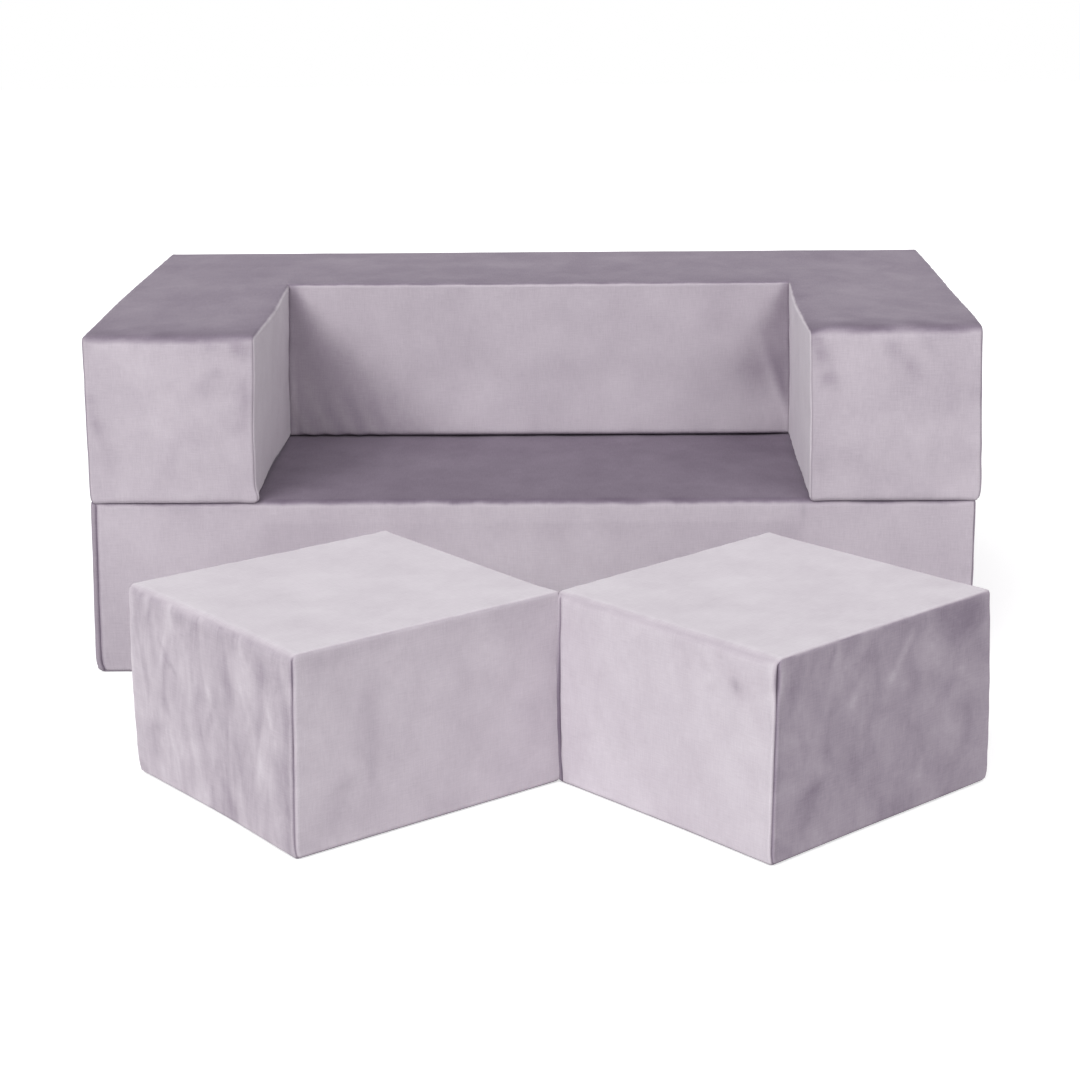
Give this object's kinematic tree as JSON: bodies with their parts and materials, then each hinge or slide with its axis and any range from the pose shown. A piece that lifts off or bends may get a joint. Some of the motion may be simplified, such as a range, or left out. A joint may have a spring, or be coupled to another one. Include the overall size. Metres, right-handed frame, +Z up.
{
  "type": "modular foam play sofa",
  "caption": "Child's play sofa of loose velvet-covered foam blocks: a low base, a U-shaped back and arm block that rests on it, and box-shaped poufs in front.",
  "frame": {"origin": "middle of the base block's flat underside, on the floor", "axes": "+Z up; +X along the seat towards the sitter's left arm, which is on the right in the front view; +Y from the seat's front to its rear. The poufs stand on the -Y side."},
  "size_m": [1.008, 1.1434, 0.395],
  "materials": {
    "velvet": "short-pile velvet, brushed",
    "lining_cloth": "plain woven non-slip cloth",
    "foam": "open-cell foam, cut",
    "zip_tape": "woven nylon tape and coil",
    "zip_metal": "satin nickel plate"
  },
  "bodies": {
    "base": {"base_foam_core": "foam", "base_cover_strip": "velvet", "base_cover_left_end": "velvet", "base_cover_right_end": "velvet", "base_cover_underside": "lining_cloth", "base_zip_tape_upper": "zip_tape", "base_zip_tape_lower": "zip_tape", "base_zip_stops": "zip_metal"},
    "base_slider": {"base_zip_slider": "zip_metal"},
    "base_pull": {"base_zip_pull": "zip_metal"},
    "back_unit": {"back_unit_foam_back": "foam", "back_unit_foam_left_arm": "foam", "back_unit_foam_right_arm": "foam", "back_unit_cover_strip": "velvet", "back_unit_cover_left_side": "velvet", "back_unit_cover_right_side": "velvet", "back_unit_cover_left_bay": "velvet", "back_unit_cover_right_bay": "velvet", "back_unit_cover_rear_bay": "velvet", "back_unit_cover_underside": "lining_cloth", "back_unit_zip_tape_upper": "zip_tape", "back_unit_zip_tape_lower": "zip_tape", "back_unit_zip_stops": "zip_metal"},
    "back_unit_slider": {"back_unit_zip_slider": "zip_metal"},
    "back_unit_pull": {"back_unit_zip_pull": "zip_metal"},
    "pouf_left": {"pouf_left_foam_core": "foam", "pouf_left_cover_strip": "velvet", "pouf_left_cover_left_end": "velvet", "pouf_left_cover_right_end": "velvet", "pouf_left_cover_underside": "lining_cloth", "pouf_left_zip_tape_upper": "zip_tape", "pouf_left_zip_tape_lower": "zip_tape", "pouf_left_zip_stops": "zip_metal"},
    "pouf_left_slider": {"pouf_left_zip_slider": "zip_metal"},
    "pouf_left_pull": {"pouf_left_zip_pull": "zip_metal"},
    "pouf_right": {"pouf_right_foam_core": "foam", "pouf_right_cover_strip": "velvet", "pouf_right_cover_left_end": "velvet", "pouf_right_cover_right_end": "velvet", "pouf_right_cover_underside": "lining_cloth", "pouf_right_zip_tape_upper": "zip_tape", "pouf_right_zip_tape_lower": "zip_tape", "pouf_right_zip_stops": "zip_metal"},
    "pouf_right_slider": {"pouf_right_zip_slider": "zip_metal"},
    "pouf_right_pull": {"pouf_right_zip_pull": "zip_metal"}
  },
  "joints": [
    {"name": "back_unit_lift", "type": "slide", "parent": "base", "child": "back_unit", "axis": [0, 0, 1], "range_m": [0, 0.25]},
    {"name": "pouf_left_lift", "type": "slide", "parent": "base", "child": "pouf_left", "axis": [0, 0, 1], "range_m": [0, 0.3]},
    {"name": "pouf_right_lift", "type": "slide", "parent": "base", "child": "pouf_right", "axis": [0, 0, 1], "range_m": [0, 0.3]},
    {"name": "base_zip_slide", "type": "slide", "parent": "base", "child": "base_slider", "axis": [-1, 0, 0], "range_m": [0, 0.9064]},
    {"name": "base_pull_swing", "type": "hinge", "parent": "base_slider", "child": "base_pull", "pos_m": [0.4532, 0.29492, 0.024], "axis": [0, 0, -1], "range_deg": [0, 180]},
    {"name": "back_unit_zip_slide", "type": "slide", "parent": "back_unit", "child": "back_unit_slider", "axis": [-1, 0, 0], "range_m": [0, 0.9064]},
    {"name": "back_unit_pull_swing", "type": "hinge", "parent": "back_unit_slider", "child": "back_unit_pull", "pos_m": [0.4532, 0.29442, 0.229], "axis": [0, 0, -1], "range_deg": [0, 180]},
    {"name": "pouf_left_zip_slide", "type": "slide", "parent": "pouf_left", "child": "pouf_left_slider", "axis": [-0.6388, 0.7694, 0], "range_m": [0, 0.2034]},
    {"name": "pouf_left_pull_swing", "type": "hinge", "parent": "pouf_left_slider", "child": "pouf_left_pull", "pos_m": [0.0073, -0.595, 0.024], "axis": [0, 0, -1], "range_deg": [0, 180]},
    {"name": "pouf_right_zip_slide", "type": "slide", "parent": "pouf_right", "child": "pouf_right_slider", "axis": [-0.6909, 0.723, 0], "range_m": [0, 0.2034]},
    {"name": "pouf_right_pull_swing", "type": "hinge", "parent": "pouf_right_slider", "child": "pouf_right_pull", "pos_m": [0.43476, -0.59544, 0.024], "axis": [0, 0, -1], "range_deg": [0, 180]}
  ]
}
